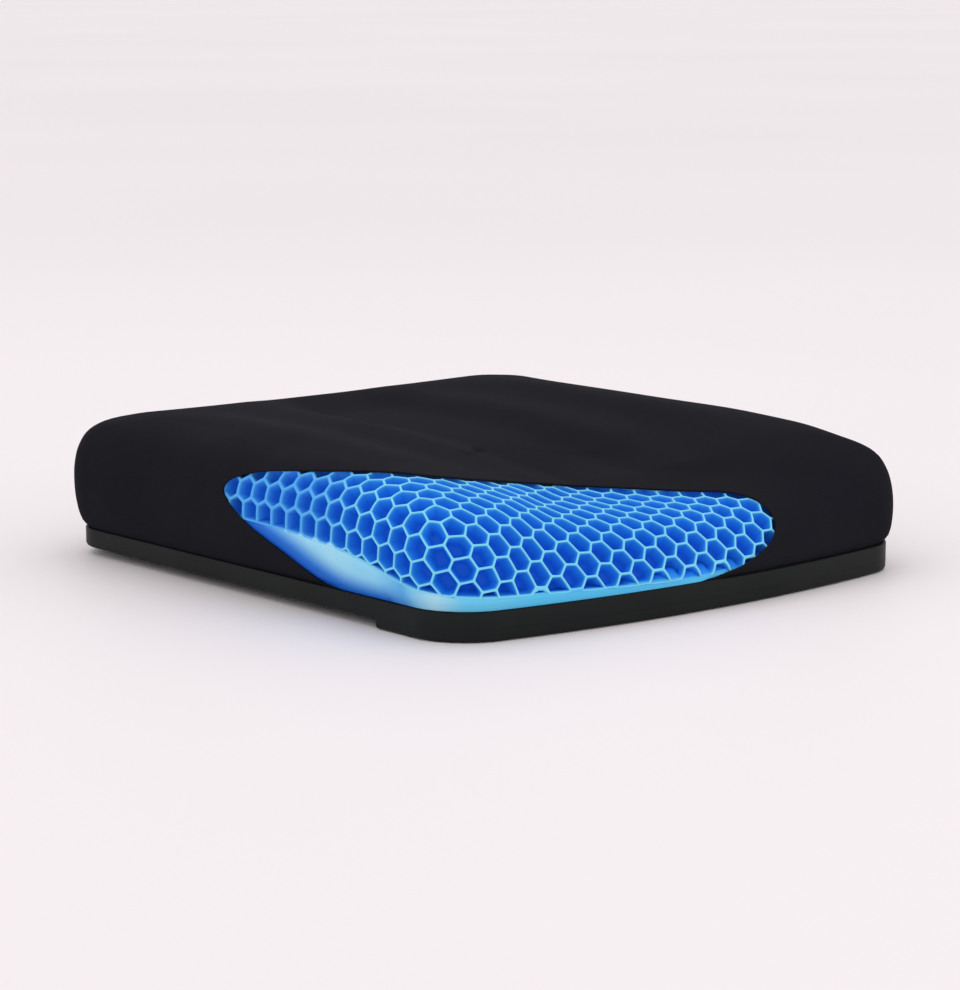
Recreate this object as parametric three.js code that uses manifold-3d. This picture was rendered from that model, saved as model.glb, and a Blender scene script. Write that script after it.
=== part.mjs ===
// Upholstered office chair seat with a honeycomb gel pad, shown with a leaf-shaped display window
// cut in its cover.
// Millimetres. +Z is up, the front edge faces -Y, and the underside's mounting pads stand on Z = 0.
// From the bottom up: plastic outer shell, plywood board with T-nuts, foam core, gel pad, and the fabric
// cover that wraps them all and is stapled under the board.
import * as THREE from "three";
import { mergeVertices } from "three/addons/utils/BufferGeometryUtils.js";
import Module from "manifold-3d";

const wasm = await Module();
wasm.setup();

// ---- Driving dimensions ----
const gap = 0.3; // between solids that touch
const rim = { width: 474, depth: 494, frontBow: 25, corner: 40, top: 22, wall: 3 };
// The shell's floor. Its lower side is also the rim's lower edge at the sides and back.
const floor = { bottom: 6, thick: 3 };
const frontLip = { back: -163 }; // the rim reaches down to Z = 0 in front of this Y
const board = { inset: 5.3, bottom: 12.5, top: 23 };
const cover = { thick: 1.6, clear: 0.4, flange: 34 }; // clear is the play inside the rim
const cushion = { height: 91.5, frontFall: 8, cornerFall: 6.3, middleFall: 23, dish: 13 };
// The skirt's thickness, from the rim's outer face, and the top of the hollow inside.
const gel = { skirt: 42, coreTop: 64 };
const mechanismPad = { x: 110, y: 120, holeX: 80, holeY: 100 };
const armPad = { xIn: 156, xOut: 206, y: 60, half: 78, holeX: 181, holePitch: 52 };
const padWall = 3;
const tNut = { bore: 3.4, barrel: 5, flange: 10, flangeThick: 1.5, sunk: 0.3 };
const boltHole = 4.6; // radius in the shell, clearance for M8
const shellScrew = { shank: 1.9, head: 3.9, headThick: 2.2, reach: 19.5, boss: 5 };
const staple = { count: 16, crown: 11, wire: 0.9, leg: 7, inset: 22 };

// The edge rounding, bottom to top: how far in from the rim's outer face, and what share of the height.
const sideEdge = [
  [2.2, 0.012], [-1.4, 0.045], [-4, 0.1], [-6.8, 0.22], [-8.5, 0.4], [-8, 0.56],
  [-4.8, 0.71], [1.8, 0.835], [11, 0.915], [26, 0.965], [48, 0.99], [80, 1],
];
const frontEdge = [
  [2.4, 0.017], [-0.4, 0.062], [-1, 0.13], [0.6, 0.215], [3.6, 0.31], [7.6, 0.415],
  [12.8, 0.527], [20.5, 0.655], [35, 0.795], [56, 0.885], [84, 0.935], [125, 1],
];
const innerScales = [0.8, 0.55, 0.28];
const middle = { y: 10 }; // from the middle of the rim's straight ends to the middle of the overall box

// The display window, looking square at the front corner: [right, up] of each point of its outline.
const windowTurn = THREE.MathUtils.degToRad(40);
const windowTilt = THREE.MathUtils.degToRad(11);
const windowOutline = [
  [-198, 50], [-195, 58], [-172, 65], [-123, 65], [-67, 63], [-30, 59.5], [24, 57], [79, 55],
  [154, 52], [196, 50], [216, 43], [227, 28], [224, 13], [203, -5], [173, -19], [152, -29],
  [103, -38], [54, -44], [10, -49], [-12, -49], [-53, -42], [-104, -28], [-150, 3], [-182, 28],
];
const windowDepth = [60, 400]; // how far from the seat's centre the cut starts and ends

// ---- Small helpers ----
const lerp = (a, b, t) => a + (b - a) * t;
const smooth = (a, b, v) => THREE.MathUtils.smoothstep(v, a, b);

// A closed triangle mesh as a manifold-3d solid.
function solid(geometry) {
  const bare = geometry.clone();
  bare.deleteAttribute("normal");
  bare.deleteAttribute("uv");
  const merged = mergeVertices(bare, 1e-4);
  const mesh = new wasm.Mesh({
    numProp: 3,
    vertProperties: merged.attributes.position.array,
    triVerts: new Uint32Array(merged.index.array),
  });
  return new wasm.Manifold(mesh);
}

// A manifold-3d solid as three.js geometry.
function geometryOf(made) {
  const mesh = made.getMesh();
  const geometry = new THREE.BufferGeometry();
  geometry.setAttribute("position", new THREE.BufferAttribute(mesh.vertProperties, 3));
  geometry.setIndex(new THREE.BufferAttribute(mesh.triVerts, 1));
  geometry.computeVertexNormals();
  return geometry;
}

const box = (x0, x1, y0, y1, z0, z1) =>
  solid(
    new THREE.BoxGeometry(x1 - x0, y1 - y0, z1 - z0).translate((x0 + x1) / 2, (y0 + y1) / 2, (z0 + z1) / 2),
  );

const rod = (x, y, radius, z0, z1, sides = 14) =>
  solid(
    new THREE.CylinderGeometry(radius, radius, z1 - z0, sides)
      .rotateX(Math.PI / 2)
      .translate(x, y, (z0 + z1) / 2),
  );

// A profile of [radius, z] points that closes on itself, turned about a vertical axis.
function turned(profile, sides) {
  const points = [...profile, profile[0]].map(([r, z]) => new THREE.Vector2(r, z));
  return new THREE.LatheGeometry(points, sides).rotateX(Math.PI / 2);
}

// ---- The plan outline: a rounded rectangle whose front edge bows out ----
const cornerSteps = 6;
const edgeSteps = { side: 7, front: 12, back: 5 };

// The outline moved in by inset. Its corners stay well rounded however far in it goes.
function ring(inset) {
  const [hx, hy] = [rim.width / 2 - inset, rim.depth / 2 - inset];
  const further = Math.max(0, inset);
  const corner = rim.corner - inset + (1.45 * further ** 2) / (further + 25);
  const [cx, cy] = [hx - corner, hy - corner];
  const points = [];
  const arc = (x, y, quarter) => {
    for (let i = 0; i <= cornerSteps; i++) {
      const a = (quarter + i / cornerSteps) * (Math.PI / 2);
      points.push([x + corner * Math.cos(a), y + corner * Math.sin(a)]);
    }
  };
  const line = (x0, y0, x1, y1, steps) => {
    for (let i = 1; i < steps; i++) points.push([lerp(x0, x1, i / steps), lerp(y0, y1, i / steps)]);
  };
  arc(cx, cy, 0);
  line(cx, hy, -cx, hy, edgeSteps.back);
  arc(-cx, cy, 1);
  line(-hx, cy, -hx, -cy, edgeSteps.side);
  arc(-cx, -cy, 2);
  line(-cx, -hy, cx, -hy, edgeSteps.front);
  arc(cx, -cy, 3);
  line(hx, -cy, hx, cy, edgeSteps.side);
  return points.map(([x, y]) => {
    const forward = Math.max(0, -y / hy) ** 2;
    return [x, y - rim.frontBow * forward * (1 - (x / hx) ** 2)];
  });
}

const outline = ring(0);
const count = outline.length;

// How far each point of the outline belongs to the front edge: 0 at the sides and back, 1 along the front,
// growing over the corners and on towards the middle.
const frontness = outline.map((_, i) => {
  const [ax, ay] = outline[(i + count - 1) % count];
  const [bx, by] = outline[(i + 1) % count];
  const facing = (bx - ax) / Math.hypot(bx - ax, by - ay);
  const inward = 1 - smooth(140, 228, Math.abs(outline[i][0]));
  return smooth(0.2, 0.98, facing) ** 1.2 * (0.48 + 0.52 * inward);
});

const flatRing = (inset, z) => ring(inset).map(([x, y]) => [x, y, z]);

// Rings of points, each joined to the next, with flat caps on the first and last, as a closed solid.
function lofted(rings) {
  const positions = rings.flat(2);
  const index = [];
  rings.slice(1).forEach((_, k) => {
    for (let i = 0; i < count; i++) {
      const j = (i + 1) % count;
      const [a, b, c, d] = [k * count + i, k * count + j, (k + 1) * count + i, (k + 1) * count + j];
      index.push(a, b, d, a, d, c);
    }
  });
  const cap = (ring, flip) => {
    const middle = positions.length / 3;
    positions.push(0, 0, ring[0][2]);
    const first = flip ? 0 : (rings.length - 1) * count;
    for (let i = 0; i < count; i++) {
      const j = (i + 1) % count;
      index.push(...(flip ? [middle, first + j, first + i] : [middle, first + i, first + j]));
    }
  };
  cap(rings[0], true);
  cap(rings[rings.length - 1], false);
  return meshOf(positions, index);
}

function meshOf(positions, index) {
  const geometry = new THREE.BufferGeometry();
  geometry.setAttribute("position", new THREE.Float32BufferAttribute(positions, 3));
  geometry.setIndex(index);
  return solid(geometry);
}

const slab = (inset, z0, z1) => lofted([flatRing(inset, z0), flatRing(inset, z1)]);

// ---- The cushion's crowned form ----
// Height of the top above the rim: dished along the middle, and falling a little towards the front.
function topHeight(x, y) {
  const across = 1 - 0.6 * smooth(28, 78, Math.abs(x)) - 0.4 * smooth(40, 150, Math.abs(x));
  const along = (0.4 * smooth(-270, -200, y) + 0.6 * smooth(-215, -90, y)) * (1 - smooth(150, 240, y));
  const fall = cushion.frontFall * (1 - smooth(-270, -60, y));
  const cornerFall = cushion.cornerFall * (1 - smooth(-235, -140, y)) * smooth(120, 215, Math.abs(x));
  const middleFall = cushion.middleFall * (1 - smooth(-270, 60, y)) * (1 - smooth(70, 215, Math.abs(x)));
  return cushion.height - cushion.dish * across * along - fall - cornerFall - middleFall;
}

// Edge point k of the form, t of the way from the side's edge to the front's: [inset, share of the height].
function edgeAt(k, t) {
  const m = Math.min(Math.max(k, 0), sideEdge.length - 1);
  return [lerp(sideEdge[m][0], frontEdge[m][0], t), lerp(sideEdge[m][1], frontEdge[m][1], t)];
}

// One ring of the form, moved inwards by depth square to the surface.
function formRing(k, depth) {
  return outline.map((_, i) => {
    const t = frontness[i];
    const [before, after] = [edgeAt(k - 1, t), edgeAt(k + 1, t)];
    const slope = Math.atan2(after[0] - before[0], (after[1] - before[1]) * cushion.height);
    const [inset, share] = edgeAt(k, t);
    const [x, y] = ring(inset + depth * Math.cos(slope))[i];
    return [x, y, rim.top + share * topHeight(x, y) - depth * Math.sin(slope)];
  });
}

function formRings(depth, from = 0) {
  const edges = sideEdge.slice(from).map((_, n) => formRing(n + from, depth));
  const last = formRing(sideEdge.length - 1, 0);
  const middles = innerScales.map((scale) =>
    last.map(([x, y]) => [x * scale, y * scale, rim.top + topHeight(x * scale, y * scale) - depth]),
  );
  return [...edges, ...middles];
}

// Closes a stack of rings with a fan at the cushion's centre and a flat cap below.
function dome(rings, depth) {
  const positions = rings.flat(2);
  const index = [];
  for (let k = 0; k + 1 < rings.length; k++) {
    for (let i = 0; i < count; i++) {
      const j = (i + 1) % count;
      const [a, b, c, d] = [k * count + i, k * count + j, (k + 1) * count + i, (k + 1) * count + j];
      index.push(a, b, d, a, d, c);
    }
  }
  const top = positions.length / 3;
  positions.push(0, 0, rim.top + topHeight(0, 0) - depth);
  const bottom = top + 1;
  positions.push(0, 0, rings[0][0][2]);
  const first = (rings.length - 1) * count;
  for (let i = 0; i < count; i++) {
    const j = (i + 1) % count;
    index.push(top, first + i, first + j);
    index.push(bottom, j, i);
  }
  return meshOf(positions, index);
}

// ---- Soft parts ----
// The leaf-shaped window as a prism square to the front corner.
function windowCutter() {
  const curve = new THREE.CatmullRomCurve3(
    windowOutline.map(([a, b]) => new THREE.Vector3(a, b, 0)),
    true,
    "centripetal",
  );
  const shape = new THREE.Shape(curve.getPoints(48).slice(0, -1).map((p) => new THREE.Vector2(p.x, p.y)));
  const depth = windowDepth[1] - windowDepth[0];
  const prism = new THREE.ExtrudeGeometry(shape, { depth, bevelEnabled: false });
  prism.translate(0, 0, windowDepth[0]);
  const towards = new THREE.Vector3(
    -Math.sin(windowTurn) * Math.cos(windowTilt),
    -Math.cos(windowTurn) * Math.cos(windowTilt),
    Math.sin(windowTilt),
  );
  const right = new THREE.Vector3(Math.cos(windowTurn), -Math.sin(windowTurn), 0);
  const up = new THREE.Vector3().crossVectors(towards, right);
  prism.applyMatrix4(new THREE.Matrix4().makeBasis(right, up, towards));
  return solid(prism).trimByPlane([0, 0, 1], rim.top + 1);
}

function coverSolid() {
  const outerInset = rim.wall + cover.clear;
  const innerInset = outerInset + cover.thick;
  const outer = dome(
    [
      flatRing(outerInset, board.bottom - gap - cover.thick),
      flatRing(outerInset, rim.top - 0.5),
      ...formRings(0),
    ],
    0,
  );
  const inner = dome(
    [
      flatRing(innerInset, board.bottom - gap),
      flatRing(innerInset, rim.top - 0.5),
      ...formRings(cover.thick),
    ],
    cover.thick,
  );
  const mouth = slab(outerInset + cover.flange, board.bottom - 5, board.bottom + 1);
  return outer.subtract(inner).subtract(mouth).subtract(windowCutter());
}

function gelSolid() {
  const depth = cover.thick + gap;
  const base = board.top + gap;
  const outside = dome([flatRing(rim.wall + cover.clear + depth, base), ...formRings(depth, 1)], depth);
  return outside.subtract(coreSolid(0));
}

// The foam core under the gel, smaller all round by less.
function coreSolid(less) {
  const level = gel.coreTop - less;
  const base = less ? board.top + gap : board.top - 1;
  const at = (inset, z) => flatRing(gel.skirt + less + inset, z);
  return lofted([at(0, base), at(0, level - 22), at(4, level - 9), at(12, level - 2), at(24, level)]);
}

// ---- Board and shell ----
const mechanismHoles = [-1, 1].flatMap((sx) =>
  [-1, 1].map((sy) => [sx * mechanismPad.holeX, sy * mechanismPad.holeY]),
);
const armHoles = (side) => [-1, 0, 1].map((n) => [side * armPad.holeX, armPad.y + n * armPad.holePitch]);
const boltHoles = [...mechanismHoles, ...armHoles(-1), ...armHoles(1)];
const screwPlaces = [
  ...[-150, 0, 150].map((x) => [x, -192]),
  ...[-150, 0, 150].map((x) => [x, 184]),
  ...[-136, 136].map((x) => [x, -72]),
];

// Staples follow the board's edge; turn is the direction of the crown.
const hemLine = new THREE.Path(ring(staple.inset).map(([x, y]) => new THREE.Vector2(x, y))).closePath();
const staplePlaces = Array.from({ length: staple.count }, (_, n) => {
  const u = (n + 0.5) / staple.count;
  const along = hemLine.getTangentAt(u);
  return { x: hemLine.getPointAt(u).x, y: hemLine.getPointAt(u).y, turn: Math.atan2(along.y, along.x) };
});

const placed = (made, { x, y, turn }) =>
  made.rotate([0, 0, THREE.MathUtils.radToDeg(turn)]).translate([x, y, 0]);

// The two legs' holes, a little wider than the legs.
function stapleHoles(place) {
  const [half, w] = [staple.crown / 2, staple.wire / 2];
  const top = board.bottom + staple.leg;
  const leg = (x) => box(x - w - gap, x + w + gap, -w - gap, w + gap, board.bottom - 4, top);
  return placed(leg(-half + w).add(leg(half - w)), place);
}

function boardSolid() {
  let made = slab(board.inset, board.bottom, board.top);
  boltHoles.forEach(([x, y]) => {
    made = made.subtract(rod(x, y, tNut.barrel + gap, board.bottom - 1, board.top + 1));
    made = made.subtract(
      rod(x, y, tNut.flange + gap, board.top - tNut.flangeThick - tNut.sunk - gap, board.top + 1),
    );
  });
  screwPlaces.forEach(([x, y]) => {
    made = made.subtract(rod(x, y, shellScrew.shank + gap, board.bottom - 1, shellScrew.reach + gap, 10));
  });
  staplePlaces.forEach((place) => {
    made = made.subtract(stapleHoles(place));
  });
  return made;
}

function shellSolid() {
  const top = floor.bottom + floor.thick;
  const round = 2; // the rim's lower outer edge
  let made = lofted([
    flatRing(round, floor.bottom),
    flatRing(0, floor.bottom + round),
    flatRing(0, rim.top - 0.8),
    flatRing(0.8, rim.top),
  ]);
  made = made.subtract(slab(rim.wall, top, rim.top + 1));
  const lip = lofted([flatRing(round, 0), flatRing(0, round), flatRing(0, floor.bottom + 4)])
    .subtract(slab(rim.wall + 1, -1, floor.bottom + 5))
    .intersect(box(-300, 300, -300, frontLip.back, -1, floor.bottom + 3));
  made = made.add(lip);
  // Plateaus for the mechanism and the two arms, hollow from above.
  const plateau = (x0, x1, y0, y1) => {
    made = made.add(box(x0, x1, y0, y1, 0, top - 1));
    made = made.subtract(box(x0 + padWall, x1 - padWall, y0 + padWall, y1 - padWall, padWall, top + 1));
  };
  plateau(-mechanismPad.x, mechanismPad.x, -mechanismPad.y, mechanismPad.y);
  [-1, 1].forEach((side) => {
    const xs = [side * armPad.xIn, side * armPad.xOut].sort((a, b) => a - b);
    plateau(...xs, armPad.y - armPad.half, armPad.y + armPad.half);
  });
  // Ribs that carry the board.
  const ribTop = board.bottom - gap;
  const rib = (x0, x1, y0, y1) => {
    made = made.add(box(x0, x1, y0, y1, padWall - 1, ribTop));
  };
  [-40, 40].forEach((x) => rib(x - 1, x + 1, -mechanismPad.y + 1, mechanismPad.y - 1));
  [-60, 0, 60].forEach((y) => rib(-mechanismPad.x + 1, mechanismPad.x - 1, y - 1, y + 1));
  // Bosses: one round each bolt hole and one round each screw hole.
  boltHoles.forEach(([x, y]) => {
    made = made.add(rod(x, y, boltHole + 3.5, 1, ribTop));
  });
  screwPlaces.forEach(([x, y]) => {
    made = made.add(rod(x, y, shellScrew.boss, floor.bottom + 1, ribTop));
  });
  boltHoles.forEach(([x, y]) => {
    made = made.subtract(rod(x, y, boltHole, -1, board.bottom + 1));
  });
  screwPlaces.forEach(([x, y]) => {
    made = made.subtract(rod(x, y, shellScrew.shank + gap, floor.bottom - 1, board.bottom + 1, 10));
  });
  return made;
}

// ---- Fasteners ----
function tNutGeometry() {
  const top = board.top - tNut.sunk;
  const seat = top - tNut.flangeThick;
  return turned(
    [
      [tNut.bore, board.bottom + gap],
      [tNut.barrel, board.bottom + gap],
      [tNut.barrel, seat],
      [tNut.flange, seat],
      [tNut.flange, top],
      [tNut.bore, top],
    ],
    12,
  );
}

function screwGeometry() {
  const { shank, head, headThick, reach } = shellScrew;
  const seat = floor.bottom - gap;
  const profile = [
    [0, seat - headThick],
    [head * 0.7, seat - headThick],
    [head, seat - headThick * 0.5],
    [head, seat],
    [shank, seat],
    [shank, reach - 3],
    [0, reach],
  ];
  const points = profile.map(([r, z]) => new THREE.Vector2(r, z));
  return new THREE.LatheGeometry(points, 10).rotateX(Math.PI / 2);
}

function stapleSolid(place) {
  const [half, w] = [staple.crown / 2, staple.wire / 2];
  const crownTop = board.bottom - gap - cover.thick - gap;
  const crown = box(-half, half, -w, w, crownTop - staple.wire, crownTop);
  const leg = (x) => box(x - w, x + w, -w, w, crownTop - 0.2, board.bottom + staple.leg - gap);
  return placed(crown.add(leg(-half + w)).add(leg(half - w)), place);
}

// ---- Assembly ----
const materials = {
  shell: new THREE.MeshStandardMaterial({ color: 0x23272a, roughness: 0.55, metalness: 0 }),
  wood: new THREE.MeshStandardMaterial({ color: 0xb98d5c, roughness: 0.7, metalness: 0 }),
  foam: new THREE.MeshStandardMaterial({ color: 0xd9d2c0, roughness: 0.95, metalness: 0 }),
  gel: new THREE.MeshStandardMaterial({ color: 0x2f83e6, roughness: 0.3, metalness: 0 }),
  fabric: new THREE.MeshStandardMaterial({ color: 0x1d1c22, roughness: 0.9, metalness: 0 }),
  zinc: new THREE.MeshStandardMaterial({ color: 0xb6b9bd, roughness: 0.35, metalness: 1 }),
  blackSteel: new THREE.MeshStandardMaterial({ color: 0x2a2a2c, roughness: 0.45, metalness: 1 }),
};

const seat = new THREE.Group();
function add(name, geometry, material) {
  const mesh = new THREE.Mesh(geometry, material.clone());
  mesh.name = name;
  seat.add(mesh);
  return mesh;
}

let coverMade = coverSolid();
staplePlaces.forEach((place) => {
  coverMade = coverMade.subtract(stapleHoles(place));
});

add("outer_shell", geometryOf(shellSolid()), materials.shell);
add("inner_board", geometryOf(boardSolid()), materials.wood);
add("foam_core", geometryOf(coreSolid(gap)), materials.foam);
add("gel_pad", geometryOf(gelSolid()), materials.gel);
add("fabric_cover", geometryOf(coverMade), materials.fabric);

const tNutNames = [
  ...mechanismHoles.map((_, n) => `mechanism_tnut_${n + 1}`),
  ...[1, 2, 3].map((n) => `arm_tnut_left_${n}`),
  ...[1, 2, 3].map((n) => `arm_tnut_right_${n}`),
];
boltHoles.forEach(([x, y], n) => {
  add(tNutNames[n], tNutGeometry(), materials.zinc).position.set(x, y, 0);
});
screwPlaces.forEach(([x, y], n) => {
  add(`shell_screw_${n + 1}`, screwGeometry(), materials.blackSteel).position.set(x, y, 0);
});
staplePlaces.forEach((place, n) => {
  add(`cover_staple_${String(n + 1).padStart(2, "0")}`, geometryOf(stapleSolid(place)), materials.zinc);
});

// The group is moved so that the Z axis runs through the middle of the overall box.
seat.position.y = middle.y;

export default seat;
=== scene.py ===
"""The look of an upholstered office chair seat with a honeycomb gel pad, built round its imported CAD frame.

Lengths are millimetres until a mesh is made. They are laid out from the middle of the seat's outline, which
lies a little off the frame's origin along Y. It comes from the shell's box.
"""
import math

import bmesh
import bpy
import numpy as np
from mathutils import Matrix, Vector
from mathutils.bvhtree import BVHTree
from mathutils.interpolate import poly_3d_calc


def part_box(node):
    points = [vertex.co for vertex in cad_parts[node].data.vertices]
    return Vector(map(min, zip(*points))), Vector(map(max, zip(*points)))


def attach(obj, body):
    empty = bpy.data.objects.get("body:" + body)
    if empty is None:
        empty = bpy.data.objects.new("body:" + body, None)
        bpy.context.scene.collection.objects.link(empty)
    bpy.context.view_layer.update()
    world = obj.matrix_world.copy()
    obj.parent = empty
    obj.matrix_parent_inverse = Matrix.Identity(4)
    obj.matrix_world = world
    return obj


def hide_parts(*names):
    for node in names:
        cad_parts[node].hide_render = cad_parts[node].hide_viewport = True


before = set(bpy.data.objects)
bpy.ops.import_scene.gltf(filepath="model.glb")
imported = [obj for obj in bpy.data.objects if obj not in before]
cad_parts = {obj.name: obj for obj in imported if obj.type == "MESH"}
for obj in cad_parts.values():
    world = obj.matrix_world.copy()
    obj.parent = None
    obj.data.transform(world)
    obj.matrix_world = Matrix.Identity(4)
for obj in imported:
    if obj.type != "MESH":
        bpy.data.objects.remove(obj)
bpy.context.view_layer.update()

# ---------------------------------------------------------------- sizes
RIM_W, RIM_D, BOW, CORNER = 474.0, 494.0, 25.0, 40.0
shell_high = np.array(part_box("outer_shell")[1]) * 1000
MIDDLE_Y = shell_high[1] - RIM_D / 2
RIM_TOP = shell_high[2]
FLOOR, FLOOR_THICK, WALL = 6.0, 3.0, 3.0
LIP_BACK = -163.0
board_low, board_high = (np.array(c) * 1000 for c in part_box("inner_board"))
COVER, HEM = 1.6, 34.0
GEL_UNDER = COVER + 0.3
HEIGHT, FRONT_FALL, CORNER_FALL, MIDDLE_FALL, DISH = 91.5, 8.0, 6.3, 23.0, 13.0
SIDE = [
    (2.2, 0.012), (-1.4, 0.045), (-4, 0.1), (-6.8, 0.22), (-8.5, 0.4), (-8, 0.56),
    (-4.8, 0.71), (1.8, 0.835), (11, 0.915), (26, 0.965), (48, 0.99), (80, 1),
]
FRONT = [
    (2.4, 0.017), (-0.4, 0.062), (-1, 0.13), (0.6, 0.215), (3.6, 0.31), (7.6, 0.415),
    (12.8, 0.527), (20.5, 0.655), (35, 0.795), (56, 0.885), (84, 0.935), (125, 1),
]
LAST = len(SIDE) - 1

WINDOW_TURN, WINDOW_TILT = math.radians(40), math.radians(11)
WINDOW = [
    (-198, 50), (-195, 58), (-172, 65), (-123, 65), (-67, 63), (-30, 59.5), (24, 57), (79, 55),
    (154, 52), (196, 50), (216, 43), (227, 28), (224, 13), (203, -5), (173, -19), (152, -29),
    (103, -38), (54, -44), (10, -49), (-12, -49), (-53, -42), (-104, -28), (-150, 3), (-182, 28),
]


# ---------------------------------------------------------------- the form
def smooth(a, b, v):
    t = np.clip((v - a) / (b - a), 0, 1)
    return t * t * (3 - 2 * t)


def hermite(u, a, a_slope, b, b_slope):
    """A cubic from a to b, at u from 0 to 1."""
    return (
        (2 * u**3 - 3 * u**2 + 1) * a
        + (u**3 - 2 * u**2 + u) * a_slope
        + (3 * u**2 - 2 * u**3) * b
        + (u**3 - u**2) * b_slope
    )


def spline(points):
    """A smooth curve through points that ends level, as a function of their index."""
    pts = np.array(points, float)
    t = np.concatenate([[0], np.cumsum(np.linalg.norm(np.diff(pts * [1, 90], axis=0), axis=1))])
    slope = np.gradient(pts, t, axis=0)
    slope[-1] = [(pts[-1, 0] - pts[-2, 0]) / (t[-1] - t[-2]), 0]

    def at(k):
        k = np.clip(np.asarray(k, float), 0, len(pts) - 1)
        i = np.minimum(k.astype(int), len(pts) - 2)
        h = (t[i + 1] - t[i])[..., None]
        return hermite((k - i)[..., None], pts[i], h * slope[i], pts[i + 1], h * slope[i + 1])

    return at


side_at, front_at = spline(SIDE), spline(FRONT)

STRAIGHT_Y, STRAIGHT_X, QUARTER = RIM_D - 2 * CORNER, RIM_W - 2 * CORNER, CORNER * math.pi / 2
ROUND = 2 * (STRAIGHT_X + STRAIGHT_Y + 2 * QUARTER)
# Runs of the outline from the middle of the front right corner, towards +X along the front and on round.
RUNS = np.cumsum([0, QUARTER / 2, *[STRAIGHT_X, QUARTER, STRAIGHT_Y, QUARTER] * 2])
RUNS[-1] = ROUND


# Which side each run is on, and the angle in quarter turns where a corner begins.
RUN_X = np.array([-1, 0, 1, 1, 1, 0, -1, -1, -1])
RUN_Y = np.array([-1, -1, -1, 0, 1, 1, 1, 0, -1])
RUN_TURN = np.array([2, 0, 3, 0, 0, 0, 1, 0, 2])


def plan(inset, p, bow=BOW):
    """Plan position of the outline moved in by inset, p along it."""
    inset, p = np.broadcast_arrays(np.asarray(inset, float), np.asarray(p, float) % ROUND)
    far = np.maximum(inset, 0)
    corner = CORNER - inset + 1.45 * far**2 / (far + 25)
    hx, hy = RIM_W / 2 - inset, RIM_D / 2 - inset
    cx, cy = hx - corner, hy - corner
    run = np.clip(np.searchsorted(RUNS, p, side="right") - 1, 0, 8)
    f = (p - RUNS[run]) / np.diff(RUNS)[run]
    f = np.where(run == 0, 0.5 + f / 2, np.where(run == 8, f / 2, f))
    sx, sy, angle, from_middle = RUN_X[run], RUN_Y[run], (RUN_TURN[run] + f) * math.pi / 2, 2 * f - 1
    x = np.where(run % 2, sx * hx - sy * cx * from_middle, sx * cx + corner * np.cos(angle))
    y = np.where(run % 2, sy * hy + sx * cy * from_middle, sy * cy + corner * np.sin(angle))
    forward = np.maximum(0, -y / hy) ** 2
    return x, y - bow * forward * (1 - (x / hx) ** 2)


def ring_at(inset, z, p):
    """The outline moved in by inset, at height z."""
    return np.stack([*plan(inset, p), np.full(len(p), z)], -1)


fine_p = np.linspace(0, ROUND, 1868, endpoint=False)
ox, oy = plan(0, fine_p)
tangent = np.stack([np.roll(ox, -2) - np.roll(ox, 2), np.roll(oy, -2) - np.roll(oy, 2)], 1)
facing = tangent[:, 0] / np.linalg.norm(tangent, axis=1)
front_share = smooth(0.2, 0.98, facing) ** 1.2 * (0.48 + 0.52 * (1 - smooth(140, 228, np.abs(ox))))


def frontness(p):
    return np.interp(np.asarray(p) % ROUND, np.append(fine_p, ROUND), np.append(front_share, front_share[0]))


def top_height(x, y):
    across = 1 - 0.6 * smooth(28, 78, np.abs(x)) - 0.4 * smooth(40, 150, np.abs(x))
    along = (0.4 * smooth(-270, -200, y) + 0.6 * smooth(-215, -90, y)) * (1 - smooth(150, 240, y))
    fall = FRONT_FALL * (1 - smooth(-270, -60, y))
    corner = CORNER_FALL * (1 - smooth(-235, -140, y)) * smooth(120, 215, np.abs(x))
    middle = MIDDLE_FALL * (1 - smooth(-270, 60, y)) * (1 - smooth(70, 215, np.abs(x)))
    bolster = np.exp(-(((np.abs(x) - 166) / 24) ** 2)) - 1.3 * np.exp(-(((np.abs(x) - 118) / 26) ** 2))
    bolster *= 1.9 * smooth(-150, -40, y) * (1 - smooth(110, 190, y))
    return HEIGHT - DISH * across * along - fall - corner - middle + bolster


def edge(p, k):
    """Inset and share of the height at edge point k, for k up to LAST."""
    t = frontness(p)[..., None]
    return side_at(k) * (1 - t) + front_at(k) * t


def form(p, k):
    """The cushion's outer form. Past k = LAST the last ring shrinks to the middle, reached one later."""
    p, k = np.broadcast_arrays(np.asarray(p, float), np.asarray(k, float))
    at = edge(p, np.minimum(k, LAST))
    x, y = plan(at[..., 0], p)
    scale = np.clip(1 - (k - LAST), 0, 1)
    scale = np.where(k > LAST, scale, 1)
    x, y = x * scale, y * scale
    return np.stack([x, y, RIM_TOP + at[..., 1] * top_height(x, y)], -1)


def form_normal(p, k):
    dp = form(p + 0.5, k) - form(np.asarray(p) - 0.5, k)
    k = np.asarray(k, float)
    dk = form(p, np.minimum(k + 0.02, LAST + 0.999)) - form(p, np.maximum(k - 0.02, 0))
    n = np.cross(dp, dk)
    return n / np.maximum(np.linalg.norm(n, axis=-1, keepdims=True), 1e-9)


# Length along the side's edge curve from the rim up, which spaces the rows.
K_FINE = np.linspace(0, LAST, 221)
side_steps = np.linalg.norm(np.diff(side_at(K_FINE) * [1, 88], axis=0), axis=1)
side_len = np.concatenate([[0], np.cumsum(side_steps)])


# ---------------------------------------------------------------- mesh helpers
def shade(mesh, sharp=None):
    """Smooth shading, with edges sharp from an angle in degrees."""
    mesh.polygons.foreach_set("use_smooth", [True] * len(mesh.polygons))
    if sharp is not None:
        mesh.set_sharp_from_angle(angle=math.radians(sharp))


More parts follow.
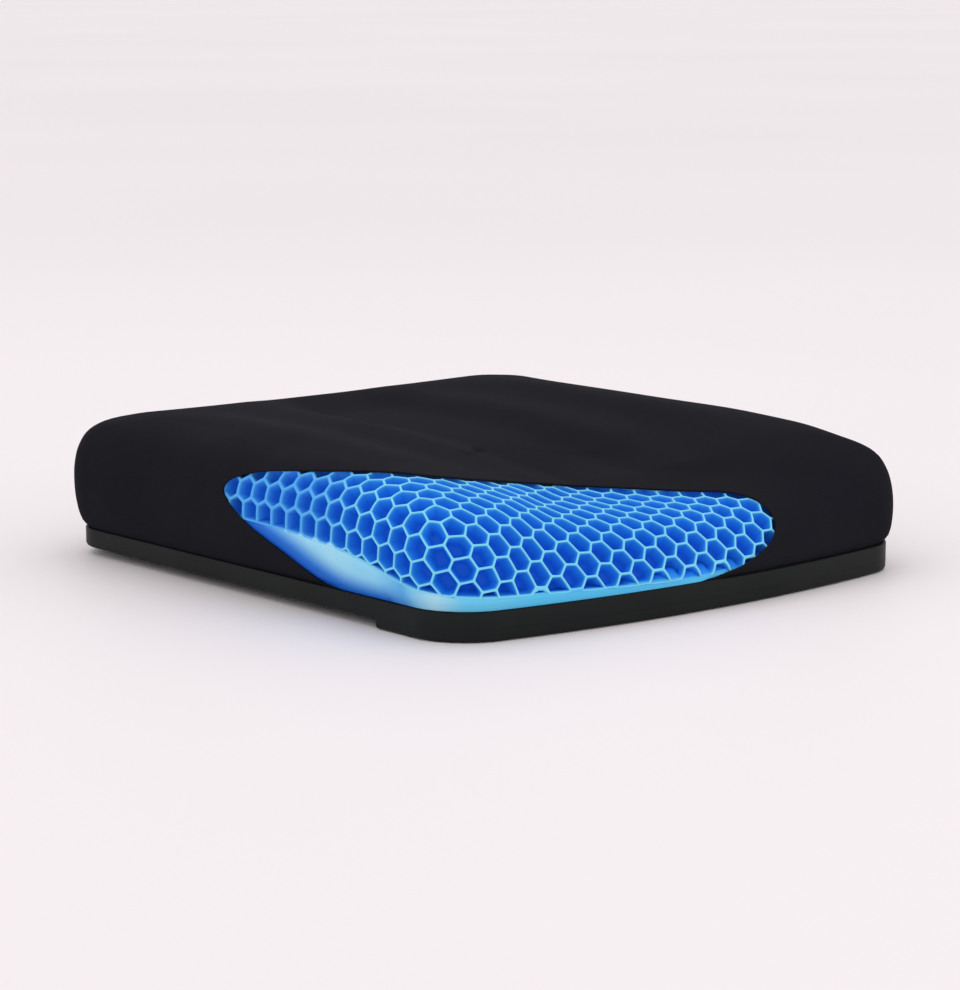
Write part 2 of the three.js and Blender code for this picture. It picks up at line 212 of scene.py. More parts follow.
def piece(name, verts, faces, material, sharp=None):
    """A mesh object from millimetres in the seat's own layout."""
    mesh = bpy.data.meshes.new(name)
    v = (np.asarray(verts, float) + [0, MIDDLE_Y, 0]) / 1000
    mesh.from_pydata(v.tolist(), [], [list(map(int, f)) for f in faces])
    mesh.validate()
    mesh.update()
    ob = bpy.data.objects.new(name, mesh)
    bpy.context.scene.collection.objects.link(ob)
    mesh.materials.append(material)
    shade(mesh, sharp)
    return ob


def strips(rows, closed=True):
    """Quads between rows of vertex indices, rows running the same way."""
    faces = []
    for a, b in zip(rows[:-1], rows[1:]):
        n = len(a)
        for i in range(n if closed else n - 1):
            j = (i + 1) % n
            faces.append((a[i], a[j], b[j], b[i]))
    return faces


def vertex_normals(verts, faces):
    n = np.zeros_like(verts)
    quads = np.array([f if len(f) == 4 else (*f, f[2]) for f in faces])
    a, b, c, d = (verts[quads[:, i]] for i in range(4))
    face = np.cross(c - a, d - b)
    for i in range(4):
        np.add.at(n, quads[:, i], face)
    return n / np.maximum(np.linalg.norm(n, axis=1, keepdims=True), 1e-12)


# ---------------------------------------------------------------- materials
def dress(tree, n, inputs):
    """Sets a node's inputs, or links those whose value is another node's output."""
    for key, value in inputs.items():
        if isinstance(value, bpy.types.NodeSocket):
            tree.links.new(value, n.inputs[key])
        else:
            n.inputs[key].default_value = value
    return n


def node(tree, kind, inputs=None, **settings):
    n = tree.nodes.new(kind)
    for key, value in settings.items():
        setattr(n, key, value)
    return dress(tree, n, inputs or {})


def new_material(name):
    m = bpy.data.materials.new(name)
    m.use_nodes = True
    tree = m.node_tree
    shader = next(n for n in tree.nodes if n.type == "BSDF_PRINCIPLED")
    return m, tree, shader, node(tree, "ShaderNodeTexCoord").outputs["Object"]


def srgb(*colour):
    shares = [c / 255 for c in colour]
    return (*(c / 12.92 if c <= 0.04045 else ((c + 0.055) / 1.055) ** 2.4 for c in shares), 1)


def ramp(tree, value, stops):
    n = node(tree, "ShaderNodeValToRGB", {"Fac": value})
    n.color_ramp.elements[0].position, n.color_ramp.elements[0].color = stops[0]
    n.color_ramp.elements[1].position, n.color_ramp.elements[1].color = stops[-1]
    for position, colour in stops[1:-1]:
        n.color_ramp.elements.new(position).color = colour
    return n.outputs["Color"]


def noise(tree, coord, scale, detail):
    inputs = {"Vector": coord, "Scale": scale, "Detail": detail}
    return node(tree, "ShaderNodeTexNoise", inputs).outputs["Fac"]


def spread(tree, value, low, high):
    return node(tree, "ShaderNodeMapRange", {"Value": value, "To Min": low, "To Max": high}).outputs[0]


def shared_out(tree, a, b, share):
    """share of a, and the rest of b."""
    parts = [math_node(tree, "MULTIPLY", value, part) for value, part in ((a, share), (b, 1 - share))]
    return math_node(tree, "ADD", *parts)


def bump(tree, height, strength, distance):
    inputs = {"Height": height, "Strength": strength, "Distance": distance}
    return node(tree, "ShaderNodeBump", inputs).outputs[0]


def math_node(tree, operation, *values):
    return node(tree, "ShaderNodeMath", dict(enumerate(values)), operation=operation).outputs[0]


def fabric_material():
    m, tree, shader, coord = new_material("cover_fabric")
    normal = node(tree, "ShaderNodeNewGeometry").outputs["Normal"]
    x, y, z = node(tree, "ShaderNodeSeparateXYZ", {"Vector": coord}).outputs
    facing = node(tree, "ShaderNodeSeparateXYZ", {"Vector": normal}).outputs
    across, ahead, above = (math_node(tree, "POWER", math_node(tree, "ABSOLUTE", f), 4) for f in facing)

    def knit(a, b):
        v = node(tree, "ShaderNodeCombineXYZ", {"X": a, "Y": b}).outputs[0]
        threads = {"Vector": v, "Scale": 290, "Distortion": 0.4, "Detail": 1}
        waves = [node(tree, "ShaderNodeTexWave", threads, bands_direction=d) for d in "XY"]
        return math_node(tree, "MULTIPLY", *(wave.outputs["Fac"] for wave in waves))

    # A fine plain knit, laid on from above, from the front and from the side, each where the surface faces
    # that way.
    views = ((knit(x, y), above), (knit(x, z), ahead), (knit(y, z), across))
    laid = [math_node(tree, "MULTIPLY", *view) for view in views]
    total = math_node(tree, "ADD", math_node(tree, "ADD", above, ahead), across)
    mixed = math_node(tree, "ADD", math_node(tree, "ADD", *laid[:2]), laid[2])
    mixed = math_node(tree, "DIVIDE", mixed, total)
    cloudy, fuzz = noise(tree, coord, 9, 3), noise(tree, coord, 900, 2)
    value = shared_out(tree, mixed, cloudy, 0.55)
    height = math_node(tree, "ADD", mixed, math_node(tree, "MULTIPLY", fuzz, 0.5))
    dress(tree, shader, {
        "Base Color": ramp(tree, value, [(0.1, srgb(22, 22, 27)), (0.8, srgb(36, 36, 42))]),
        "Roughness": spread(tree, fuzz, 0.78, 0.92),
        "Sheen Weight": 0.002,
        "Sheen Roughness": 0.45,
        "Specular IOR Level": 0.02,
        "Normal": bump(tree, height, 0.35, 0.00025),
    })
    return m


def gel_material():
    """depth goes down into a cell, and on the skirt in from the cover's edge; crisp tells the bright-topped
    cells from the soft ones, and on the skirt runs along the outline; skirt is 1 on the smooth skirt. The
    colours paint in light and shade: a painted highlight on the wall tops, painted shade deeper in the cells,
    painted highlights and sheen streaks along the skirt, and a painted shadow of the cover's edge on the
    skirt along the window's lower-left side."""
    m, tree, shader, coord = new_material("gel")
    depth, crisp, skirt = (
        node(tree, "ShaderNodeAttribute", attribute_name=name).outputs["Fac"]
        for name in ("depth", "crisp", "skirt")
    )

    def blend(factor, a, b, kind="MIX"):
        inputs = {0: factor, 6: a, 7: b}
        return node(tree, "ShaderNodeMix", inputs, data_type="RGBA", blend_type=kind).outputs[2]

    def fading(value, start, end, kind="LINEAR"):
        inputs = {"Value": value, "From Min": start, "From Max": end, "To Min": 1, "To Max": 0}
        return node(tree, "ShaderNodeMapRange", inputs, interpolation_type=kind).outputs[0]

    # The bright-topped cells' colour down their depth: the pale wall tops are a painted highlight, and the
    # darker blue further down is painted shade in the hollow.
    bright = ramp(tree, depth, [
        (0.0, srgb(132, 218, 242)), (0.03, srgb(110, 206, 242)), (0.08, srgb(62, 162, 240)),
        (0.2, srgb(46, 148, 242)), (0.6, srgb(40, 138, 240)), (0.85, srgb(30, 122, 232)),
        (1.0, srgb(24, 114, 225)),
    ])
    # The soft cells the same way, with a dimmer painted highlight on their tops and painted shade further
    # down.
    soft = ramp(tree, depth, [
        (0.0, srgb(86, 174, 240)), (0.12, srgb(66, 156, 238)), (0.5, srgb(42, 132, 232)),
        (1.0, srgb(36, 124, 228)),
    ])
    # The skirt's light blue along the outline, with painted highlights and painted sheen streaks near the
    # corner; the noise makes their edges waver.
    wavering = math_node(tree, "MULTIPLY", math_node(tree, "SUBTRACT", noise(tree, coord, 22, 1), 0.5), 0.05)
    skirt_tint_and_highlights = ramp(tree, math_node(tree, "ADD", crisp, wavering), [
        (0.0, srgb(90, 172, 238)), (0.07, srgb(146, 212, 244)), (0.2, srgb(166, 224, 245)),
        (0.28, srgb(146, 214, 244)), (0.325, srgb(96, 178, 232)), (0.35, srgb(140, 206, 238)),
        (0.38, srgb(176, 226, 242)), (0.415, srgb(112, 206, 242)), (0.5, srgb(92, 198, 242)),
        (0.9, srgb(84, 188, 240)),
    ])
    # A painted shadow of the cover's cut edge on the skirt's side part, along the window's lower-left edge:
    # dark blue at the edge, fading out within about 20 mm.
    edge_shadow_blue = ramp(tree, depth, [
        (0.0, srgb(8, 66, 163)), (0.15, srgb(14, 92, 198)), (0.45, srgb(40, 124, 217)),
        (1.0, srgb(66, 146, 223)),
    ])
    edge_shadow_share = math_node(tree, "MULTIPLY", fading(crisp, 0.3, 0.35), fading(depth, 0.3, 0.95, "SMOOTHSTEP"))
    colour = blend(skirt, blend(crisp, soft, bright), blend(edge_shadow_share, skirt_tint_and_highlights, edge_shadow_blue))
    cloudy = ramp(tree, noise(tree, coord, 14, 2), [(0.3, (0.9, 0.95, 0.98, 1)), (0.7, (1, 1, 1, 1))])
    wet = noise(tree, coord, 60, 3)
    dress(tree, shader, {
        "Base Color": blend(1.0, colour, cloudy, "MULTIPLY"),
        "Roughness": spread(tree, wet, 0.22, 0.36),
        "Specular IOR Level": 0.07,
        "Normal": bump(tree, wet, 0.2, 0.0006),
    })
    return m


def plastic_material():
    m, tree, shader, coord = new_material("shell_plastic")
    grain = noise(tree, coord, 1400, 2)
    dress(tree, shader, {
        "Base Color": ramp(tree, noise(tree, coord, 12, 3), [
            (0.3, srgb(21, 24, 24)), (0.7, srgb(27, 30, 30)),
        ]),
        "Roughness": spread(tree, grain, 0.42, 0.58),
        "Specular IOR Level": 0.1,
        "Normal": bump(tree, grain, 0.25, 0.0002),
    })
    return m


def wood_material():
    m, tree, shader, coord = new_material("plywood")
    stretch = node(tree, "ShaderNodeMapping", {"Vector": coord, "Scale": (4, 60, 60)}).outputs[0]
    fibres = {"Vector": stretch, "Scale": 3, "Detail": 6, "Distortion": 0.6}
    grain = node(tree, "ShaderNodeTexNoise", fibres).outputs["Fac"]
    layers = {"Vector": coord, "Scale": 150, "Distortion": 0}
    plies = node(tree, "ShaderNodeTexWave", layers, bands_direction="Z").outputs["Fac"]
    value = shared_out(tree, grain, plies, 0.75)
    colour = ramp(tree, value, [(0.2, srgb(150, 108, 66)), (0.8, srgb(214, 176, 126))])
    dress(tree, shader, {"Base Color": colour, "Roughness": 0.65})
    return m


def foam_material():
    m, tree, shader, coord = new_material("foam")
    cells = node(tree, "ShaderNodeTexVoronoi", {"Vector": coord, "Scale": 700}).outputs["Distance"]
    colour = ramp(tree, cells, [(0.1, srgb(222, 214, 192)), (0.7, srgb(190, 180, 156))])
    dress(tree, shader, {"Base Color": colour, "Roughness": 0.95, "Normal": bump(tree, cells, 0.5, 0.0006)})
    return m


def metal_material(name, light, dark, low, high):
    m, tree, shader, coord = new_material(name)
    spots = noise(tree, coord, 220, 4)
    colour = ramp(tree, spots, [(0.3, dark), (0.7, light)])
    dress(tree, shader, {"Base Color": colour, "Roughness": spread(tree, spots, low, high), "Metallic": 1})
    return m


FABRIC, GEL, PLASTIC = fabric_material(), gel_material(), plastic_material()
WOOD, FOAM = wood_material(), foam_material()
ZINC = metal_material("zinc_steel", srgb(200, 202, 206), srgb(168, 170, 172), 0.22, 0.4)
BLACK_STEEL = metal_material("black_steel", srgb(52, 52, 54), srgb(34, 34, 36), 0.3, 0.5)


# ---------------------------------------------------------------- the cushion's grid
CAP_K = 8.5  # the edge point where the square grid begins
CLOTH_CAP = 1.8  # the furthest that the cloth simulation may move the cover


def cushion_grid(across, levels):
    """The form as a grid of quads: (p, k) of each vertex, its faces, and the rows below the cap, from the rim
    up. The cap is a square grid, across squares wide, and each row below it has four times as many."""
    half = across // 2
    columns = 4 * across
    quarter_p = np.cumsum([0, *[QUARTER + STRAIGHT_X, QUARTER + STRAIGHT_Y] * 2])

    def ring_p(n):  # 4 n points, each quarter of them from one corner's middle to the next
        return np.interp(np.arange(4 * n) / n, np.arange(5), quarter_p)

    rows_k = np.interp(np.linspace(0, np.interp(CAP_K, K_FINE, side_len), levels), side_len, K_FINE)
    rows = np.arange(levels * columns).reshape(levels, columns)
    p, k = list(np.tile(ring_p(across), levels)), list(np.repeat(rows_k, columns))
    faces = strips(rows)
    # The cap: square rings of 8 m points, m from half down to 0, shrinking to the middle.
    start = side_at(CAP_K)[0]
    last_inset = side_at(LAST)[0]
    outer = rows[-1]
    for m in range(half - 1, -1, -1):
        inset = start + (1 - m / half) * (RIM_W / 2 - start)
        if inset <= last_inset:
            value = np.interp(inset, side_at(K_FINE)[:, 0][120:], K_FINE[120:])
        else:
            value = LAST + (inset - last_inset) / (RIM_W / 2 - last_inset)
        if m == 0:
            inner = np.array([len(p)])
            p.append(0.0)
            k.append(LAST + 1.0)
        else:
            inner = np.arange(8 * m) + len(p)
            p.extend(ring_p(2 * m))
            k.extend([value] * 8 * m)
        big, small = 2 * (m + 1), 2 * m
        for q in range(4):
            for i in range(1, big - 1):
                a, b = outer[q * big + i], outer[(q * big + i + 1) % len(outer)]
                c = inner[(q * small + i) % len(inner)]
                d = inner[(q * small + i - 1) % len(inner)]
                faces.append((a, b, c, d))
            corner = outer[q * big]
            before, after = outer[(q * big - 1) % len(outer)], outer[q * big + 1]
            faces.append((before, corner, after, inner[(q * small) % len(inner)]))
        outer = inner
    return np.array(p), np.array(k), faces, rows


def settled(fine):
    """How far each point of the cover moves when the cloth is blown out a little over its padding: a cloth
    simulation on a coarser grid, held at the rim."""
    p, k, faces, _ = cushion_grid(48, 11)
    rest = form(p, k) / 1000
    ob = piece("cloth", rest * 1000 - [0, MIDDLE_Y, 0], faces, bpy.data.materials.new("cloth"))
    held = ob.vertex_groups.new(name="held")
    held.add([int(n) for n in np.flatnonzero(k < 1.2)], 1.0, "REPLACE")
    cloth = ob.modifiers.new("cloth", "CLOTH")
    for name, value in {
        "quality": 6, "mass": 0.35, "vertex_group_mass": "held", "use_pressure": True,
        "uniform_pressure_force": 4, "tension_stiffness": 22, "compression_stiffness": 22,
        "shear_stiffness": 8, "bending_stiffness": 1.5,
    }.items():
        setattr(cloth.settings, name, value)
    cloth.settings.effector_weights.gravity = 0
    cloth.collision_settings.use_collision = False
    cloth.point_cache.frame_start, cloth.point_cache.frame_end = 1, 20
    scene = bpy.context.scene
    scene.frame_start, scene.frame_end = 1, 20
    for step in range(1, 21):
        scene.frame_set(step)
    blown = bpy.data.meshes.new_from_object(ob.evaluated_get(bpy.context.evaluated_depsgraph_get()))
    now = np.empty(len(rest) * 3)
    blown.vertices.foreach_get("co", now)
    moved = now.reshape(-1, 3) - rest
    scene.frame_set(1)
    bpy.data.objects.remove(ob)
    # Only outwards, since the padding holds the cloth from inside, and evened out over its neighbours.
    normals = vertex_normals(rest, faces)
    out = (moved * normals).sum(1)
    out = np.clip(out * 1000, 0, CLOTH_CAP)
    links = {(min(a, b), max(a, b)) for f in faces for a, b in zip(f, np.roll(f, -1))}
    links = np.array([link for link in links if link[0] != link[1]])
    count = np.bincount(links.reshape(-1), minlength=len(rest))
    for _ in range(12):
        total = sum(np.bincount(links[:, a], out[links[:, 1 - a]], len(rest)) for a in (0, 1))
        out = (out + total / np.maximum(count, 1)) / 2
    moved = normals * out[:, None] / 1000
    tree = BVHTree.FromPolygons(rest.tolist(), [list(map(int, f)) for f in faces])
    shifted = np.zeros_like(fine)
    for n, v in enumerate(fine / 1000):
        hit, _, face, _ = tree.find_nearest(Vector(v))
        corners = list(faces[face])
        weights = poly_3d_calc([Vector(rest[c]) for c in corners], hit)
        shifted[n] = np.array(weights) @ moved[corners]
    return shifted * 1000


grid_p, grid_k, grid_faces, grid_rows = cushion_grid(144, 31)
grid_pos = form(grid_p, grid_k)
grid_normal = vertex_normals(grid_pos, grid_faces)


# ---------------------------------------------------------------- the window
towards = np.array([
    -math.sin(WINDOW_TURN) * math.cos(WINDOW_TILT),
    -math.cos(WINDOW_TURN) * math.cos(WINDOW_TILT),
    math.sin(WINDOW_TILT),
])
right = np.array([math.cos(WINDOW_TURN), -math.sin(WINDOW_TURN), 0])
up = np.cross(towards, right)


def closed_curve(points, steps):
    """A centripetal Catmull-Rom curve through points and back to the first."""
    pts = np.array(points, float)
    n = len(pts)
    out = []
    for i in range(n):
        p0, p1, p2, p3 = (pts[(i + j) % n] for j in (-1, 0, 1, 2))
        t01, t12, t23 = (np.linalg.norm(b - a) ** 0.5 for a, b in ((p0, p1), (p1, p2), (p2, p3)))
        m1 = (p2 - p1) + t12 * ((p1 - p0) / t01 - (p2 - p0) / (t01 + t12))
        m2 = (p2 - p1) + t12 * ((p3 - p2) / t23 - (p3 - p1) / (t12 + t23))
        for u in np.arange(steps) / steps:
            out.append(hermite(u, p1, m1, p2, m2))
    return np.array(out)


window_curve = closed_curve(WINDOW, 14)


def window_distance(points):
    """Distance outside the window's outline, negative inside, looking square at the front right corner."""
    q = np.stack([points @ right, points @ up], -1)
    a, b = window_curve, np.roll(window_curve, -1, axis=0)
    out = np.empty(len(q))
    for s in range(0, len(q), 4000):
        c = q[s : s + 4000, None]
        ab = b - a
        t = np.clip(((c - a) * ab).sum(-1) / (ab * ab).sum(-1), 0, 1)
        gap = np.linalg.norm(c - a - t[..., None] * ab, axis=-1).min(1)
        crosses = ((a[:, 1] > c[..., 1]) != (b[:, 1] > c[..., 1])) & (
            c[..., 0] < a[:, 0] + (c[..., 1] - a[:, 1]) * ab[:, 0] / np.where(ab[:, 1] == 0, 1e-9, ab[:, 1])
        )
        out[s : s + 4000] = np.where(crosses.sum(1) % 2 == 1, -gap, gap)
    return np.where(points @ towards > 60, out, 1e3)


def cut(verts, faces, value, extra=()):
    """Drops the part of a mesh where value is negative. Vertices next to the cut are moved onto it, so that
    its edge is clean. extra are more arrays, one entry per vertex, that move with them. Returns the kept
    faces."""
    edges = np.array([(f[i - 1], f[i]) for f in faces for i in range(len(f))])
    i, j = np.unique(np.sort(edges, axis=1), axis=0).T
    on = value[i] * value[j] < 0
    i, j = i[on], j[on]
    t = value[i] / (value[i] - value[j])
    near, far, move = np.where(t < 0.5, i, j), np.where(t < 0.5, j, i), np.where(t < 0.5, t, 1 - t)
    order = np.argsort(-move)
    near, far, move = near[order], far[order], move[order]
    for array in (verts, *extra):
        share = move.reshape(-1, *[1] * (array.ndim - 1))
        array[near] = array[near] * (1 - share) + array[far] * share
    value[near] = 0
    kept = []
    for f in faces:
        s = value[list(f)]
        if (s <= 0).all():
            continue
        if (s >= 0).all():
            kept.append(f)
            continue
        n = len(f)
        k = int(np.argmax(s))
        kept.append((f[k - 1], f[k], f[(k + 1) % n]))
    return kept


def boundary_loops(faces):
    """Loops of vertices round the open edges of faces, each running the way its faces do."""
    ahead = {}
    seen = set()
    for f in faces:
        seen.update((int(f[i - 1]), int(f[i])) for i in range(len(f)))
    for a, b in seen:
        if (b, a) not in seen:
            ahead[a] = b
    loops = []
    while ahead:
        start, at = next(iter(ahead.items()))
        loop = [start]
        del ahead[start]
        while at != start and at in ahead:
            loop.append(at)
            at = ahead.pop(at)
        loops.append(loop)
    return loops


def thicken(verts, normals, faces, thick):
    """A skin as a closed solid: faces outside, a copy thick below them, and rounded open edges."""
    n = len(verts)
    inner = verts - normals * thick
    out = [verts, inner]
    all_faces = [tuple(f) for f in faces] + [tuple(int(i) + n for i in reversed(f)) for f in faces]
    used = 2 * n
    for loop in boundary_loops(faces):
        loop = np.array(loop)
        nxt, prv = np.roll(loop, -1), np.roll(loop, 1)
        along = verts[nxt] - verts[prv]
        along /= np.maximum(np.linalg.norm(along, axis=1, keepdims=True), 1e-9)
        outward = np.cross(along, normals[loop])
        middle = (verts[loop] + inner[loop]) / 2
        rows = [loop]
        for share, push in ((0.45, 0.3), (0.0, 0.45), (-0.45, 0.3)):
            out.append(middle + normals[loop] * thick * share + outward * thick * push)
            rows.append(np.arange(len(loop)) + used)
            used += len(loop)
        rows.append(loop + n)
        all_faces += [tuple(reversed(f)) for f in strips(rows)]
    return np.concatenate(out), all_faces


# ---------------------------------------------------------------- the cover
def cover_piece():
    columns = len(grid_rows[0])
    p = grid_p[grid_rows[0]]
    outer, low = WALL + 0.4, board_low[2] - 0.3 - COVER
    below = [
        (outer + HEM, low), (outer + HEM * 0.6, low), (outer + 9, low), (outer + 3, low),
        (outer + 0.9, low + 0.5), (outer, low + 2), (outer, low + 6), (outer - 0.05, RIM_TOP - 1.2),
    ]
    verts = [ring_at(inset, z, p) for inset, z in below]
    rows = [np.arange(columns) + columns * n for n in range(len(below))]
    offset = columns * len(below)
    faces = strips(rows + [grid_rows[0] + offset]) + [tuple(np.array(f) + offset) for f in grid_faces]
    top = grid_pos.copy()
    top += settled(grid_pos) * smooth(2, 34, window_distance(grid_pos))[:, None]
    verts = np.concatenate([*verts, top])
    normals = vertex_normals(verts, faces)
    clear = np.maximum(window_distance(verts), RIM_TOP + 0.2 - verts[:, 2])
    faces = cut(verts, faces, clear, extra=(normals,))
    normals /= np.linalg.norm(normals, axis=1, keepdims=True)
    verts, faces = thicken(verts, normals, faces, COVER)
    used, inverse = np.unique(np.concatenate([np.array(f) for f in faces]), return_inverse=True)
    sizes = np.cumsum([len(f) for f in faces])[:-1]
    return piece("cover", verts[used], np.split(inverse, sizes), FABRIC)


cover = cover_piece()
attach(cover, "root")
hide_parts("fabric_cover")


# ---------------------------------------------------------------- the gel pad
# The honeycomb's lower edge: distance along the outline from the corner's middle, and height above the rim.
BORDER = [
    (-300, 40), (-228, 39), (-160, 37), (-98, 31), (-60, 22), (-25, 13.5),
    (10, 10.5), (60, 8.7), (140, 5.6), (218, 3), (360, 2.4),
]
# How far outside the seat's outline that edge comes when the form's edges are folded out flat.
FOLD_OUT = [
    (-300, 38), (-150, 41), (-80, 46), (-20, 52), (0, 46), (20, 38), (60, 28), (100, 22.5), (360, 22.5),
]
CELL = 10.4  # a cell's side, from wall centre to wall centre
STRETCH, LOWEST = 1.2, 21.6  # how much longer the lowest row of cells is, and its length


def eased(table, p):
    """A table along the outline, with its corners eased."""
    p = (np.asarray(p) + ROUND / 2) % ROUND - ROUND / 2
    a, b = np.array(table).T
    fine = np.linspace(a[0], a[-1], 400)
    values = np.convolve(np.pad(np.interp(fine, a, b), 15, mode="edge"), np.ones(31) / 31, mode="valid")
    return np.interp(p, fine, values)


def border_height(p):
    return eased(BORDER, p)


def below(k):
    """How far past the form's lower edge a point is, for k under 0."""
    return 20 * np.maximum(0, -np.asarray(k, float))


# How far up and in over the form each point is from the honeycomb's lower edge, on a table of p and K_FINE.
TABLE_P = np.linspace(0, ROUND, 468)
table_z = form(TABLE_P[:, None], K_FINE)[..., 2]
table_inset = edge(*np.broadcast_arrays(TABLE_P[:, None], K_FINE))[..., 0]
table_step = np.hypot(np.diff(table_z, axis=1), np.diff(table_inset, axis=1))
table_run = np.pad(np.cumsum(table_step, axis=1), ((0, 0), (1, 0)))
border_run = [np.interp(h, z, run) for h, z, run in zip(RIM_TOP + border_height(TABLE_P), table_z, table_run)]
table_run -= np.array(border_run)[:, None]


def laid_flat(p, k):
    """Where a point of the form comes to when it is unrolled inwards from the honeycomb's lower edge, the
    front straightened, so that a lattice can be laid over it. The lowest row of cells is longer than the
    rest."""
    p, k = np.broadcast_arrays(np.asarray(p, float), np.asarray(k, float))
    at_p = (p % ROUND) / ROUND * (len(TABLE_P) - 1)
    at_k = np.clip(k, 0, LAST) / LAST * (len(K_FINE) - 1)
    i, j = np.minimum(at_p.astype(int), len(TABLE_P) - 2), np.minimum(at_k.astype(int), len(K_FINE) - 2)
    u, v = at_p - i, at_k - j
    run = (table_run[i, j] * (1 - u) + table_run[i + 1, j] * u) * (1 - v)
    run += (table_run[i, j + 1] * (1 - u) + table_run[i + 1, j + 1] * u) * v
    run -= below(k)
    inward = np.where(run < LOWEST, run / STRETCH, run - LOWEST * (1 - 1 / STRETCH))
    inward -= eased(FOLD_OUT, p)
    x, y = plan(inward, p, bow=0)
    past = np.clip(k - LAST, 0, 1)
    rx, ry = plan(edge(p, np.full(p.shape, float(LAST)))[..., 0], p)
    return np.stack([x - rx * past, y - ry * past], -1)


def gel_surface(p, k):
    p, k = np.broadcast_arrays(np.asarray(p, float), np.asarray(k, float))
    v = form(p, np.maximum(k, 0)) - form_normal(p, np.maximum(k, 0)) * GEL_UNDER
    v[..., 2] -= below(k)
    return v


# Round the corner the lattice closes up by a sixth of a turn about this point, where one cell has five sides.
APEX = np.array([-RIM_W / 2 + 13, -RIM_D / 2 - FOLD_OUT[-1][1] + 2.5 * math.sqrt(3) * CELL])


def nearest(where, points):
    """The index of the nearest of points to each point of where."""
    return np.concatenate([
        ((where[s : s + 200, None] - points) ** 2).sum(-1).argmin(1) for s in range(0, len(where), 200)
    ])


def unfolded_to(target, gp, gk, flat):
    """(p, k) of the points of the form that laid_flat sends to target, and whether each was found."""
    target = np.asarray(target, float)
    at = nearest(target, flat)
    p, k = gp[at], gk[at]
    for _ in range(6):
        here = laid_flat(p, k)
        dp = laid_flat(p + 0.5, k) - laid_flat(p - 0.5, k)
        dk = (laid_flat(p, k + 0.02) - laid_flat(p, k - 0.02)) / 0.04
        det = dp[:, 0] * dk[:, 1] - dp[:, 1] * dk[:, 0]
        det = np.where(np.abs(det) < 1e-6, 1e-6, det)
        gap = target - here
        p = p + np.clip((gap[:, 0] * dk[:, 1] - gap[:, 1] * dk[:, 0]) / det, -3, 3)
        step = np.clip((dp[:, 0] * gap[:, 1] - dp[:, 1] * gap[:, 0]) / det, -0.3, 0.3)
        k = np.clip(k + step, -1, LAST + 0.3)
    return p, k, np.linalg.norm(laid_flat(p, k) - target, axis=1) < 1


def turned(site, degrees):
    c, s = math.cos(math.radians(degrees)), math.sin(math.radians(degrees))
    return np.array([site[0] * c - site[1] * s, site[0] * s + site[1] * c])


def lattice(gp, gk, flat):
    """The cell centres as (p, k), flat-topped hexagons with a wall along X, in folds down the front and the
    side, and the neighbours of each."""
    row, col = math.sqrt(3) * CELL, 1.5 * CELL
    sites = np.array([(i * col, (j + 0.5 * (i % 2)) * row) for i in range(-16, 44) for j in range(-14, 30)])
    turn = np.degrees(np.arctan2(sites[:, 0], -sites[:, 1])) % 360
    turn[np.hypot(*sites.T) < 1] = 180
    keep = turn < 299.99
    sites, turn = sites[keep], turn[keep]
    r, share = np.linalg.norm(sites, axis=1), np.clip((turn - 270) / 30, 0, 1)
    direct = turn < 270.01
    p, k, found = unfolded_to(APEX + np.where(direct[:, None], sites, 0), gp, gk, flat)
    wedge = ~direct & (r < 170)
    p1, k1, found1 = unfolded_to(APEX + np.column_stack([-r[wedge], 0 * r[wedge]]), gp, gk, flat)
    p2, k2, found2 = unfolded_to(APEX + np.column_stack([0 * r[wedge], -r[wedge]]), gp, gk, flat)
    found &= direct
    p[wedge], k[wedge] = p1 + (p2 - p1) * share[wedge], k1 + (k2 - k1) * share[wedge]
    found[wedge] = found1 & found2
    p, k, sites, turn = p[found], k[found], sites[found], turn[found]
    index = {(round(x), round(y)): n for n, (x, y) in enumerate(sites)}
    ways = [(0, row), (0, -row), *((dx, dy) for dx in (col, -col) for dy in (row / 2, -row / 2))]
    around = []
    for (x, y), at in zip(sites, turn):
        near = set()
        for dx, dy in ways:
            other = np.array([x + dx, y + dy])
            other_turn = math.degrees(math.atan2(other[0], -other[1])) % 360
            if 299.99 < other_turn < 359.99 and np.hypot(*other) > 1:
                other = turned(other, -60 if at < 150 else 60)
            n = index.get((round(other[0]), round(other[1])))
            near.add(n)
        around.append(near)
    return p, k, around


